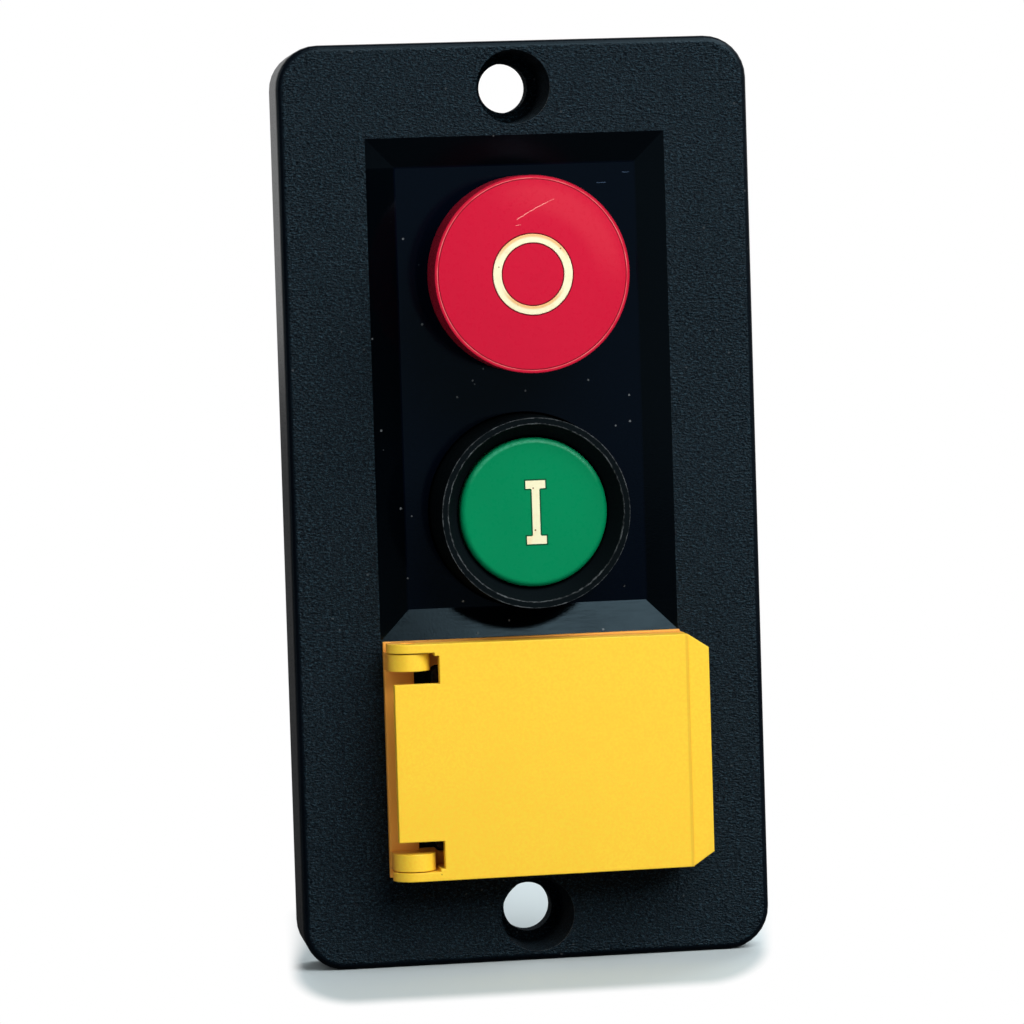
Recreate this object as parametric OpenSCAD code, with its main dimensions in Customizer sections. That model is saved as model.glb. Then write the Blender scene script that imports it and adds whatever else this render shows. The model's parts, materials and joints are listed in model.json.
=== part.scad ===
// No-volt release switch on a moulded front plate.
// A red stop button and a shrouded green start button work a contact module with a holding
// magnet behind the plate. A yellow hinged flap guards a three-position direction rocker.
// Modules are drawn in a panel frame: x to the right, y up the plate, z out of the panel
// towards the user, with zero at the centre of the plate's back face.

/* [Plate] */
// Width of the front plate
plate_w = 67; // [64:0.5:80]
// Height of the front plate
plate_h = 130; // [128:0.5:150]
// Depth of the plate from the panel to its front face
plate_t = 12; // [11:0.5:16]
// Corner radius seen from the front
plate_corner_r = 6; // [4:0.5:9]
// Rounding of the front edge
plate_edge_r = 1; // [0.4:0.1:2]
// Mould draft: how much narrower each side is at the back
plate_draft = 0.45; // [0:0.05:0.8]
// Side wall of the moulding
plate_wall = 2.5; // [1.8:0.1:3.5]
// Thickness of the stiffening ribs on the back
rib_t = 1.6; // [1:0.1:2.5]

/* [Mounting holes] */
// Distance of each screw hole from the plate's end
hole_inset = 6.5; // [6:0.1:7.5]
// Clearance hole for the mounting screw
hole_d = 7; // [5:0.1:7.5]
// Counterbore for the screw head at the front face
cbore_d = 10.5; // [9:0.1:12]
// How much narrower the counterbore is at its floor
cbore_taper = 0.6; // [0:0.1:1]
// Plastic under the screw head
cbore_floor_t = 3; // [2:0.1:5]
// Wall of the boss around each counterbore
boss_wall = 2.4; // [1.5:0.1:3.5]

/* [Recess] */
// Width of the recess around the buttons
recess_w = 42.6; // [40:0.1:48]
// Top edge of the recess above the plate's centre
recess_top = 51.8; // [51:0.1:53]
// Bottom edge of the recess below the plate's centre
recess_bottom = 18.8; // [18.5:0.1:19.8]
// Depth of the recess
recess_depth = 1; // [0.5:0.1:1.8]
// Width of the sloping border
recess_border = 4.3; // [2:0.1:4.6]
// Thickness of the recess floor
recess_floor_t = 2.5; // [1.8:0.1:3.2]

/* [Stop button] */
// Diameter of the red cap
stop_cap_d = 27.5; // [24:0.5:30]
// Height of the cap's side
stop_cap_h = 7; // [6:0.1:8]
// Face of the cap above the plate's front
stop_rise = 11.9; // [11:0.1:14]
// Crown of the cap's face
stop_dome = 0.5; // [0.2:0.1:1]
// Diameter of the stop plunger
stop_stem_d = 10; // [8:0.5:11]
// Travel of the stop button
stop_travel = 4; // [2:0.1:4.3]
// Outer diameter of the stop guide tube
stop_tube_d = 15; // [14:0.5:17]

/* [Start button] */
// Start button axis below the plate's centre
start_drop = 1; // [0.5:0.1:1.5]
// Distance from the start axis up to the stop axis
button_pitch = 33.3; // [32:0.1:34]
// Diameter of the green cap
start_cap_d = 20.9; // [19:0.1:22]
// Height of the cap's side
start_cap_h = 5.5; // [4.5:0.1:6]
// Face of the cap above the plate's front
start_rise = 7; // [6.5:0.1:8]
// Diameter of the start plunger
start_stem_d = 8; // [6:0.5:9]
// Travel of the start button
start_travel = 4; // [2:0.1:4.2]
// Outer diameter of the start guide tube
start_tube_d = 12; // [11:0.5:12.5]
// Outer diameter of the collar round the start button
collar_d = 26.6; // [25:0.1:28]
// Rim of the collar above the plate's front
collar_rise = 8.9; // [8:0.1:10]
// Width of the collar's rim
collar_rim_w = 0.85; // [0.5:0.05:1.2]
// Depth of the funnel inside the collar
collar_funnel = 3; // [1:0.1:4]

/* [Contact module] */
// Width of the module behind the plate
module_w = 37; // [36:0.5:40]
// Height of the stop chamber
stop_room_h = 35; // [34:0.5:36]
// Wall of the module base
module_wall = 1.8; // [1.4:0.1:2]
// Thickness of the module cover
cover_t = 3; // [2.4:0.1:3.5]
// Depth of the magnet chamber behind the panel
deep_depth = 33; // [33:0.5:40]
// Depth of the stop chamber behind the panel
shallow_depth = 11; // [11:0.5:16]
// Thickness of the ears that the module is screwed down by
ear_t = 2.5; // [2:0.1:3]

/* [Magnet] */
// Width of the iron core over its three legs
core_w = 26; // [25:0.5:27]
// Stack thickness of the core
core_stack = 9; // [7:0.5:9.5]
// Width of each outer leg
core_leg_w = 4.5; // [4:0.1:5]
// Width of the centre leg
core_mid_w = 7; // [6:0.1:8]
// Height of the yoke that joins the legs
core_yoke_h = 5; // [4:0.1:6]
// Thickness of the armature
armature_t = 4; // [3:0.1:4.5]

/* [Contacts] */
// Thickness of the contact strips and terminal tabs
strip_t = 0.8; // [0.6:0.05:1]
// Width of the terminal tabs
tab_w = 6.3; // [4.8:0.1:6.5]
// Length of a tab behind its housing
tab_len = 8; // [6:0.5:10]
// Diameter of the contact rivets
rivet_d = 3.6; // [2.5:0.1:4]
// Height of the contact rivets
rivet_h = 0.8; // [0.5:0.1:1]
// Distance of each main bridge from the start axis
bridge_offset = 9.5; // [9.3:0.1:10]
// Width of a main bridge
bridge_w = 5; // [4:0.1:5.2]
// Distance of the contact rivets from the middle of a bridge
rivet_x = 10.6; // [10.4:0.1:11.2]

/* [Flap] */
// Width of the flap base
flap_w = 42.4; // [41:0.1:44]
// Height of the flap base
flap_h = 33.3; // [33:0.1:34]
// How far the flap base sits right of the plate's centre line
flap_shift = 0.15; // [0:0.05:0.5]
// Top of the closed lid above the plate's front
flap_rise = 7.1; // [7:0.1:8]
// Thickness of the lid's top
lid_skin = 1.4; // [1:0.1:1.6]
// Thickness of the lid's side walls
lid_side = 1.7; // [1.6:0.1:2.2]
// Thickness of the lid's hinge eyes
lid_eye_t = 1.25; // [1:0.05:1.4]
// How much narrower the lid is along each side at its free end
lid_taper = 0.2; // [0:0.1:0.8]
// Thickness of the flap base
base_t = 1.2; // [0.8:0.1:1.3]
// Hinge axis from the left edge of the flap base
hinge_inset = 3.05; // [2.95:0.05:3.4]
// Hinge axis above the plate's front
hinge_rise = 4; // [3.8:0.05:4.2]
// Radius of the hinge ears
hinge_ear_r = 2.95; // [2.6:0.05:3.05]
// Thickness of the hinge ears
hinge_ear_t = 2.4; // [1.8:0.1:2.6]
// Diameter of the hinge pins
pin_d = 2; // [1.5:0.1:2.5]
// Left edge of the lid's tongue from the hinge axis
tongue_reach = 2.5; // [1.6:0.1:2.5]
// Length of the hinge notches in the lid
notch_w = 6.4; // [6.2:0.1:8]
// Height of the hinge notches in the lid
notch_h = 3.9; // [3:0.1:4.2]
// Reach of the finger lip past the lid
lip_w = 3; // [2:0.1:4]
// Step down from the lid to the finger lip
lip_step = 0.4; // [0.2:0.1:0.8]
// Chamfer at the finger lip's corners, along the lip
lip_chamfer = 2; // [1:0.1:3]

/* [Direction rocker] */
// Width of the rocker body
rocker_w = 28.4; // [28:0.1:28.6]
// Height of the rocker body
rocker_h = 21.6; // [20.4:0.1:21.8]
// Flange of the rocker past its body
rocker_flange = 2.1; // [1.5:0.1:2.1]
// Thickness of the rocker flange
rocker_flange_t = 1.5; // [1:0.1:1.6]
// Wall of the rocker body
rocker_wall = 1.6; // [1.3:0.1:1.8]
// Depth of the rocker body behind the panel
rocker_depth = 10.5; // [10.5:0.5:14]
// Ends of the paddle above the flange at rest
paddle_rise = 1.3; // [0.8:0.1:1.6]
// Dip of the paddle's middle below its ends
paddle_dip = 1; // [0.5:0.1:1.4]
// Tilt of the paddle each way
paddle_tilt = 8; // [4:0.5:9]
// Diameter of the rocker axle
axle_d = 2.4; // [2:0.1:2.6]
// Distance of each pole from the rocker's middle
pole_offset = 4.6; // [4.4:0.1:4.7]
// Diameter of the rocker plungers
plunger_d = 3.4; // [3:0.1:3.6]

/* [Fits] */
// Gap of a sliding or turning fit, each side
run_gap = 0.06; // [0.04:0.01:0.1]
// Gap of a pressed or seated fit, each side
seat_gap = 0.01; // [0.01:0.005:0.02]
// Gap between pieces that only pass each other
free_gap = 0.3; // [0.25:0.05:0.4]
// Gap left when two contacts or magnet faces have closed
close_gap = 0.1; // [0.08:0.01:0.2]

/* [Hidden] */

$fn = 64;
// Overrun of a cut past the face that it opens
over = 1;

hole_pitch = plate_h - 2 * hole_inset;

// Heights above the panel that several pieces share
recess_floor_h = plate_t - recess_depth;
skin_back_h = recess_floor_h - recess_floor_t;
cover_back_h = skin_back_h - cover_t;
recess_y = (recess_top - recess_bottom) / 2;
start_y = -start_drop;
stop_y = start_y + button_pitch;

// Guide tubes and plungers
sleeve_len = 1.5;
sleeve_end_h = cover_back_h - sleeve_len;
clip_t = 0.8;
clip_groove = 0.5;
clip_lip = 1;
// Half of a clip's mouth as a share of the stem
clip_mouth = 0.3;
socket_depth = 1.5;
cap_top_t = 3.2;
cap_wall = 1.8;
stop_face_h = plate_t + stop_rise;
stop_under_h = stop_face_h - cap_top_t;
// Length of the stop spring when the button is pressed home
stop_squeezed = 2.8;
stop_tube_h = stop_under_h - stop_travel - stop_squeezed;
start_face_h = plate_t + start_rise;
start_under_h = start_face_h - cap_top_t;
start_tube_rise = 2.4;
start_tube_h = skin_back_h + start_tube_rise;
cap_edge_r = 0.8;
collar_top_h = plate_t + collar_rise;
collar_bore_r = start_cap_d / 2 + free_gap;
collar_draft = 0.25;
button_wire = 0.6;
stop_turns = 3.5;
start_turns = 4;
start_spring_gap = 0.8;

// Stop contacts, from the plunger's shoulder backwards
stop_shoulder_h = 0;
stop_neck_d = 5;
rivet_edge = 0.2;
strip_corner_r = 0.8;
stop_contact_x = stop_stem_d / 2 + clip_lip + 2 * free_gap;
stop_rivet_x = stop_contact_x + rivet_d / 2;
stop_bridge_half = stop_rivet_x + rivet_d / 2 + rivet_edge;
stop_strip_h = stop_shoulder_h + 2 * rivet_h;

// Walls and floors of the module base
module_half_w = module_w / 2;
inner_half_w = module_half_w - module_wall;
deep_floor_h = -deep_depth + module_wall;
shallow_floor_h = -shallow_depth + module_wall;

// Carrier, bridges and magnet, from the start plunger's end backwards
carrier_top_h = 1;
carrier_plate_t = 2;
carrier_under_h = carrier_top_h - carrier_plate_t;
bridge_spring_len = 4;
bridge_top_h = carrier_under_h - bridge_spring_len;
cage_bar_t = 1.5;
cage_wall = 1.2;
cage_half_w = 4;
cage_half_h = bridge_w / 2 + free_gap;
cage_end_h = bridge_top_h - strip_t - cage_bar_t;
bridge_half = rivet_x + rivet_d / 2 + rivet_edge;
main_rivet_h = bridge_top_h - strip_t - rivet_h - start_travel - close_gap;
armature_face_h = carrier_under_h - armature_t;
pole_h = armature_face_h - start_travel - close_gap;
pad_t = 2.1;
pad_corner_r = 0.5;
core_end_h = deep_floor_h + pad_t;
yoke_h = core_end_h + core_yoke_h;
carrier_side = 1.5;
carrier_half_w = inner_half_w - carrier_side;
carrier_half_h = bridge_offset + cage_half_h + cage_wall;
carrier_squeezed = 2;
carrier_spring_len = start_travel + carrier_squeezed;
bobbin_top_h = cage_end_h - carrier_spring_len;
bobbin_flange_t = 1.2;
bobbin_wall = 0.8;
bobbin_tube_w = core_mid_w + 2 * run_gap + 2 * bobbin_wall;
bobbin_tube_h = core_stack + 2 * run_gap + 2 * bobbin_wall;
coil_corner_r = 2.5;
bobbin_half_w = core_w / 2 - core_leg_w - free_gap;
bobbin_corner_r = 1;
bobbin_edge = 2.7;
bobbin_half_h = bridge_offset + bobbin_edge;
coil_build = 4.2;
coil_half_h = core_stack / 2 + coil_build;
carrier_spring_r = 2;
carrier_wire = 0.35;
carrier_turns = 4.5;
bridge_spring_r = 1.7;
bridge_wire = 0.4;
bridge_turns = 4;
armature_rivet_d = 2.4;
armature_head_d = 4;
armature_head_t = 0.8;
shade_t = 1;
shade_inset = 0.5;

// Module base
carrier_clear = 2;
partition_y = start_y + carrier_half_h + carrier_clear;
module_low = start_y - carrier_half_h - free_gap - module_wall;
module_high = partition_y + stop_room_h;
module_y = (module_low + module_high) / 2;
cover_corner_r = 2;
leg_x = inner_half_w - free_gap;
rib_half = 1.5;
rib_reach = 2.4;
post_d = 4.8;
post_inset = 3.2;
pad_margin = 1;
pad_rise = 1.2;
barrier_t = 1.4;
barrier_rise = 4;
groove_depth = 0.6;
groove_w = 1.4;
groove_pitch = 3.6;
groove_end = 4;
// How far the lower posts stand into the partition
post_bite = 0.8;
post_ys = [partition_y + module_wall + post_d / 2 - post_bite, module_high - post_inset];

// Screws
screw_d = 2.9;
screw_head_d = 5.6;
screw_head_h = 1.8;
ear_half = 4;
ear_reach = 3.8;
ear_x = module_half_w + ear_reach;
ear_offset = 26;
ear_ys = [module_y - ear_offset, module_y + ear_offset];
screw_drive_w = 3.4;
screw_drive_t = 0.8;
plate_boss_d = 7;
screw_bite = 5;
cover_screw_len = 9;
cover_head_d = 4.6;
cover_head_t = 1.4;

// Flap and hinge
flap_left = flap_shift - flap_w / 2;
flap_right = flap_shift + flap_w / 2;
flap_top = -recess_bottom;
flap_bottom = flap_top - flap_h;
flap_y = (flap_top + flap_bottom) / 2;
hinge_x = flap_left + hinge_inset;
hinge_h = plate_t + hinge_rise;
lid_top_h = plate_t + flap_rise;
// Base left under the lid's hinge eyes
eye_floor_t = 0.6;
lid_eye_r = min(lid_top_h - hinge_h, hinge_rise - free_gap - eye_floor_t);
skirt_h = plate_t + base_t + free_gap;
lip_t = 1.2;
side_gap = 0.15;
// Low face of the upper hinge ear above the flap's middle
ear_low = flap_h / 2 - lid_eye_t - side_gap - hinge_ear_t;
peg_d = 2.4;
peg_head_d = 4;
peg_head_t = 0.8;
peg_edge = 2.1;
peg_left_offset = 6;
// Left edge of the window in the flap base
window_x = hinge_x + 1.1;
peg_left_x = (flap_left + window_x) / 2;
peg_right_inset = 7;
peg_right_x = flap_right - peg_right_inset;

// Rocker
rocker_y = flap_y;
rocker_x = hinge_x + hinge_ear_r + 2 * free_gap + rocker_flange + rocker_w / 2;
flange_w = rocker_w + 2 * rocker_flange;
flange_h = rocker_h + 2 * rocker_flange;
flange_corner_r = 1;
rocker_corner_r = 0.5;
rocker_inner_w = rocker_w - 2 * rocker_wall;
rocker_inner_h = rocker_h - 2 * rocker_wall;
rocker_floor_h = -rocker_depth + rocker_wall;
flange_top_h = plate_t + rocker_flange_t;
axle_drop = 2.5;
axle_h = plate_t - axle_drop;
paddle_end_gap = 1.1;
paddle_half_w = rocker_inner_w / 2 - paddle_end_gap;
paddle_half_h = rocker_inner_h / 2 - free_gap;
paddle_end_h = flange_top_h + paddle_rise;
paddle_skin = 2;
boss_end_h = 2;
boss_half_w = 3.2;
bore_roof = 0.8;
bore_top_h = axle_h - axle_d / 2 - bore_roof;
rocker_spring_len = 3;
plunger_tip_h = -1.1;
blade_top_h = plunger_tip_h - close_gap;
blade_w = 5;
blade_rivet_x = 9.3;
blade_half = blade_rivet_x + rivet_d / 2 + rivet_edge;
blade_ratio = 0.75;
blade_ridge_r = 0.8;
blade_pivot_h = blade_top_h - strip_t;
blade_fall = blade_half * sin(blade_ratio * paddle_tilt);
end_rivet_h = blade_pivot_h - rivet_h - blade_fall - close_gap;
end_tab_x = blade_rivet_x + rivet_d / 2 + strip_t / 2;
tab_xs = [-end_tab_x, 0, end_tab_x];
rocker_wire = 0.35;
rocker_turns = 4;
wing_reach = 1.2;
wing_half = 5;

// Coil springs
coil_steps = 14;
coil_sides = 6;
coil_dead = 0.9;

// Shared shapes

// Draws its children in the part's own frame: the panel upright, its front towards -Y
module in_panel() rotate([90, 0, 0]) children();

// Extrudes an outline drawn in x and height along the plate's y
module along_y(from, to) translate([0, to, 0]) rotate([90, 0, 0]) linear_extrude(to - from) children();

module rounded_rect(w, h, r) {
    square([w - 2 * r, h], center = true);
    square([w, h - 2 * r], center = true);
    for (sx = [-1, 1], sy = [-1, 1])
        translate([sx * (w / 2 - r), sy * (h / 2 - r)]) circle(r);
}

module slab(w, h, r, from, to) translate([0, 0, from]) linear_extrude(to - from) rounded_rect(w, h, r);

module rod(d, from, to) translate([0, 0, from]) cylinder(d = d, h = to - from);

// A box given by its low and high corners
module block(low, high) translate(low) cube(high - low);

module ring(d, bore, from, to) difference() {
    rod(d, from, to);
    rod(bore, from - over, to + over);
}

// Half section of a cap with a rounded upper edge
module cap_profile(r, edge, from, to) {
    translate([0, from]) square([r - edge, to - from]);
    translate([0, from]) square([r, to - edge - from]);
    translate([r - edge, to - edge]) circle(edge);
}

// Height of a coil's centre line after t turns, with closed turns at both ends
function coil_rise(t, turns, wire, len) =
    t < coil_dead ? wire / 2 + t * wire
    : t > turns - coil_dead ? len - wire / 2 - (turns - t) * wire
    : let (low = wire / 2 + coil_dead * wire, high = len - wire / 2 - coil_dead * wire)
        low + (high - low) * (t - coil_dead) / (turns - 2 * coil_dead);

function coil_point(mean_r, wire, turn, rise, side) =
    let (a = 360 * turn, s = 360 * side / coil_sides, r = mean_r + wire / 2 * cos(s))
        [r * cos(a), r * sin(a), rise + wire / 2 * sin(s)];

module coil_spring(mean_r, wire, len, turns) {
    steps = round(turns * coil_steps);
    points = [
        for (i = [0 : steps], s = [0 : coil_sides - 1])
            let (t = turns * i / steps)
                coil_point(mean_r, wire, t, coil_rise(t, turns, wire, len), s)
    ];
    sides = [
        for (i = [0 : steps - 1], s = [0 : coil_sides - 1])
            let (a = i * coil_sides, b = a + coil_sides, n = (s + 1) % coil_sides)
                [a + s, b + s, b + n, a + n]
    ];
    ends = [
        [for (s = [0 : coil_sides - 1]) s],
        [for (s = [coil_sides - 1 : -1 : 0]) steps * coil_sides + s]
    ];
    polyhedron(points, concat(sides, ends), convexity = 8);
}

// A strip that runs in from a side wall, with a rivet at its inner end and a tab at the back
module side_terminal(rivet_at, inner_x, strip_top, rivet_up, tab_end) {
    rivet_from = rivet_up ? strip_top : strip_top - strip_t - rivet_h;
    block([inner_x, -tab_w / 2, strip_top - strip_t], [leg_x, tab_w / 2, strip_top]);
    block([leg_x - strip_t, -tab_w / 2, tab_end], [leg_x, tab_w / 2, strip_top]);
    translate([rivet_at, 0, 0]) rod(rivet_d, rivet_from, rivet_from + rivet_h);
}

// Front plate

module plate_post() {
    arc = [
        for (a = [0 : 22.5 : 90])
            [plate_corner_r - plate_edge_r * (1 - cos(a)), plate_t - plate_edge_r * (1 - sin(a))]
    ];
    rotate_extrude($fn = 32)
        polygon(concat([[0, 0], [plate_corner_r - plate_draft, 0]], arc, [[0, plate_t]]));
}

module plate_shell() hull()
    for (sx = [-1, 1], sy = [-1, 1])
        translate([sx * (plate_w / 2 - plate_corner_r), sy * (plate_h / 2 - plate_corner_r), 0]) plate_post();

module at_holes() for (sy = [-1, 1]) translate([0, sy * hole_pitch / 2, 0]) children();

module at_ears() for (sx = [-1, 1], y = ear_ys) translate([sx * ear_x, y, 0]) children();

module at_pegs() {
    for (sy = [-1, 1]) translate([peg_left_x, flap_y + sy * peg_left_offset, 0]) children();
    for (sy = [-1, 1]) translate([peg_right_x, flap_y + sy * (flap_h / 2 - peg_edge), 0]) children();
}

module plate_hollow() difference() {
    inner_w = plate_w - 2 * plate_wall;
    inner_h = plate_h - 2 * plate_wall;
    slab(inner_w, inner_h, plate_corner_r - plate_wall / 2, -over, skin_back_h);
    at_holes() rod(cbore_d + 2 * boss_wall, -2 * over, plate_t);
    at_holes() translate([0, 0, skin_back_h / 2 + cbore_floor_t / 2])
        cube([plate_w, rib_t, skin_back_h - cbore_floor_t + over], center = true);
    at_ears() rod(plate_boss_d, cover_back_h, plate_t);
}

module recess_cut() {
    floor_w = recess_w - 2 * recess_border;
    floor_h = recess_top + recess_bottom - 2 * recess_border;
    grow = 2 * recess_border * (recess_depth + over) / recess_depth;
    translate([0, recess_y, recess_floor_h])
        linear_extrude(recess_depth + over, scale = [(floor_w + grow) / floor_w, (floor_h + grow) / floor_h])
            square([floor_w, floor_h], center = true);
}

module front_plate() color("#1d2124") difference() {
    plate_shell();
    plate_hollow();
    recess_cut();
    at_holes() {
        rod(hole_d, -over, plate_t + over);
        translate([0, 0, cbore_floor_t])
            cylinder(d1 = cbore_d - cbore_taper, d2 = cbore_d, h = plate_t - cbore_floor_t);
        rod(cbore_d, plate_t - seat_gap, plate_t + over);
    }
    translate([0, start_y, 0]) rod(collar_d + 2 * collar_draft + 2 * free_gap, skin_back_h - over, plate_t);
    translate([0, stop_y, 0]) rod(stop_tube_d + 2 * free_gap, skin_back_h - over, plate_t);
    at_rocker() slab(
        rocker_w + 2 * run_gap, rocker_h + 2 * run_gap, rocker_corner_r, skin_back_h - over, plate_t + over
    );
    at_pegs() rod(peg_d + 2 * seat_gap, skin_back_h - over, plate_t + over);
    at_ears() rod(screw_d + 2 * seat_gap, cover_back_h - over, cover_back_h + screw_bite);
}

// Contact module

module module_cover() color("#17191b") difference() {
    union() {
        translate([0, module_y, 0])
            slab(module_w, module_high - module_low, cover_corner_r, cover_back_h, skin_back_h);
        translate([0, start_y, 0]) {
            rotate_extrude() polygon([
                [collar_bore_r, cover_back_h], [collar_d / 2 + collar_draft, cover_back_h],
                [collar_d / 2 + collar_draft, skin_back_h], [collar_d / 2, collar_top_h],
                [collar_d / 2 - collar_rim_w, collar_top_h], [collar_bore_r, collar_top_h - collar_funnel]
            ]);
            rod(start_tube_d, sleeve_end_h, start_tube_h);
        }
        translate([0, stop_y, 0]) rod(stop_tube_d, sleeve_end_h, stop_tube_h);
    }
    translate([0, start_y, 0]) rod(start_stem_d + 2 * run_gap, sleeve_end_h - over, start_tube_h + over);
    translate([0, stop_y, 0]) rod(stop_stem_d + 2 * run_gap, sleeve_end_h - over, stop_tube_h + over);
    at_posts() {
        rod(screw_d + 2 * run_gap, cover_back_h - over, skin_back_h + over);
        translate([0, 0, skin_back_h - cover_head_t - run_gap])
            cylinder(d1 = screw_d + 2 * run_gap, d2 = cover_head_d + 2 * run_gap, h = cover_head_t + run_gap);
    }
}

module at_posts() for (sx = [-1, 1], y = post_ys)
    translate([sx * (module_half_w - post_inset), y, 0]) children();

module at_bridges() for (sy = [-1, 1]) translate([0, start_y + sy * bridge_offset, 0]) children();

module at_sides() for (m = [0, 1]) mirror([m, 0, 0]) children();

// Outer walls of one chamber of the base
module chamber_block(low_y, high_y, back_h, front_h) translate([0, (low_y + high_y) / 2, 0])
    slab(module_w, high_y - low_y, cover_corner_r, back_h, front_h);

// Room of one chamber, open at the front
module chamber_room(low_y, high_y, floor_h)
    block([-inner_half_w, low_y, floor_h], [inner_half_w, high_y, cover_back_h + over]);

module tab_slot(floor_h) at_sides()
    block(
        [leg_x - strip_t - seat_gap, -tab_w / 2 - seat_gap, floor_h - module_wall - pad_rise - over],
        [leg_x + seat_gap, tab_w / 2 + seat_gap, floor_h + over]
    );

// Raised pad round a tab that stands on the back of a base
module tab_foot(w, h, back_h)
    slab(w + 2 * pad_margin, h + 2 * pad_margin, pad_margin / 2, back_h - pad_rise, back_h + pad_rise);

module tab_feet(back_h) at_sides() translate([leg_x - strip_t / 2, 0, 0]) tab_foot(strip_t, tab_w, back_h);

// Grooves along the sides of the magnet chamber
module side_grooves() at_sides() for (i = [-2:2])
    block(
        [module_half_w - groove_depth, start_y + i * groove_pitch - groove_w / 2, groove_end - deep_depth],
        [module_half_w + over, start_y + i * groove_pitch + groove_w / 2, -groove_end]
    );

module base_shell() difference() {
    union() {
        chamber_block(module_low, module_high, -shallow_depth, cover_back_h);
        chamber_block(module_low, partition_y + module_wall, -deep_depth, over - shallow_depth);
        at_bridges() tab_feet(-deep_depth);
        at_bridges() tab_foot(tab_w, strip_t, -deep_depth);
        translate([0, stop_y, 0]) tab_feet(-shallow_depth);
        translate([0, start_y, -deep_depth])
            slab(module_w - 2 * cover_corner_r, barrier_t, barrier_t / 4, -barrier_rise, over);
    }
    chamber_room(module_low + module_wall, partition_y, deep_floor_h);
    chamber_room(partition_y + module_wall, module_high - module_wall, shallow_floor_h);
    side_grooves();
}

module module_base() color("#2b2b2d") difference() {
    union() {
        base_shell();
        at_posts() rod(post_d, shallow_floor_h, cover_back_h);
        at_sides() block(
            [inner_half_w - rib_reach, start_y - rib_half, deep_floor_h],
            [inner_half_w, start_y + rib_half, cover_back_h]
        );
        at_ears() rod(2 * ear_half, cover_back_h - ear_t, cover_back_h);
        at_sides() for (y = ear_ys)
            block([inner_half_w, y - ear_half, cover_back_h - ear_t], [ear_x, y + ear_half, cover_back_h]);
    }
    at_ears() rod(screw_d + 2 * run_gap, cover_back_h - ear_t - over, cover_back_h + over);
    at_posts() rod(screw_d + 2 * seat_gap, skin_back_h - cover_screw_len, cover_back_h + over);
    at_bridges() tab_slot(deep_floor_h);
    translate([0, stop_y, 0]) tab_slot(shallow_floor_h);
    at_bridges() translate([0, 0, deep_floor_h])
        cube([tab_w + 2 * seat_gap, strip_t + 2 * seat_gap, 4 * module_wall], center = true);
}

module module_screws() color("silver") at_ears() {
    rod(screw_d, cover_back_h - ear_t, cover_back_h + screw_bite - free_gap);
    difference() {
        rod(screw_head_d, cover_back_h - ear_t - screw_head_h, cover_back_h - ear_t);
        for (a = [0, 90]) rotate(a) translate([0, 0, cover_back_h - ear_t - screw_head_h])
            cube([screw_drive_w, screw_drive_t, screw_head_h], center = true);
    }
}

module cover_screws() color("silver") at_posts() {
    rod(screw_d, skin_back_h - cover_screw_len + free_gap, skin_back_h - cover_head_t);
    difference() {
        translate([0, 0, skin_back_h - cover_head_t - run_gap])
            cylinder(d1 = screw_d, d2 = cover_head_d, h = cover_head_t);
        translate([0, 0, skin_back_h]) cube([cover_head_d, screw_drive_t, cover_head_t], center = true);
    }
}

// Stop button

module stop_cap() color("#d8203c") translate([0, stop_y, 0]) difference() {
    dome_r = (pow(stop_cap_d / 2, 2) + pow(stop_dome, 2)) / (2 * stop_dome);
    bottom_h = stop_face_h - stop_cap_h;
    rotate_extrude() intersection() {
        cap_profile(stop_cap_d / 2, cap_edge_r, bottom_h, stop_face_h);
        translate([0, stop_face_h - dome_r]) circle(dome_r, $fn = 360);
    }
    rod(stop_cap_d - 2 * cap_wall, bottom_h - over, stop_under_h);
    rod(stop_stem_d + 2 * seat_gap, bottom_h - over, stop_under_h + socket_depth);
}

// Cut for the groove that a retaining clip sits in
module clip_cut(stem_d, top_h) ring(stem_d + 2 * over, stem_d - 2 * clip_groove, top_h - clip_t, top_h);

module stop_plunger() color("#e8e4d8") translate([0, stop_y, 0]) difference() {
    union() {
        rod(stop_stem_d, stop_shoulder_h, stop_under_h + socket_depth);
        rod(stop_neck_d, stop_shoulder_h - strip_t - clip_t - clip_lip, stop_shoulder_h + over);
    }
    clip_cut(stop_stem_d, sleeve_end_h);
    clip_cut(stop_neck_d, stop_shoulder_h - strip_t);
}

module stop_plunger_clip() color("silver") translate([0, stop_y, 0])
    retaining_clip(stop_stem_d, sleeve_end_h);

module stop_bridge_clip() color("silver") translate([0, stop_y, 0])
    retaining_clip(stop_neck_d, stop_shoulder_h - strip_t);

// An open ring that snaps into a groove in a plunger
module retaining_clip(stem_d, top_h) difference() {
    ring(stem_d + 2 * clip_lip, stem_d - 2 * clip_groove + 2 * seat_gap, top_h - clip_t, top_h);
    mouth = stem_d * clip_mouth;
    block([-mouth, 0, top_h - clip_t - over], [mouth, stem_d, top_h + over]);
}

module stop_spring() color("silver") translate([0, stop_y, stop_tube_h])
    coil_spring((stop_stem_d + stop_tube_d) / 4, button_wire, stop_under_h - stop_tube_h, stop_turns);

module stop_bridge() color("#b87333") translate([0, stop_y, 0]) difference() {
    union() {
        slab(2 * stop_bridge_half, tab_w, strip_corner_r, stop_shoulder_h - strip_t, stop_shoulder_h);
        at_sides() translate([stop_rivet_x, 0, 0])
            rod(rivet_d, stop_shoulder_h - strip_t, stop_shoulder_h + rivet_h);
    }
    rod(stop_neck_d + 2 * seat_gap, stop_shoulder_h - strip_t - over, stop_shoulder_h + over);
}

module stop_contacts() color("#c9a14a") translate([0, stop_y, 0]) at_sides()
    side_terminal(
        stop_rivet_x, stop_contact_x, stop_strip_h + strip_t, false,
        -shallow_depth - tab_len
    );

// Start button and carrier

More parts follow.
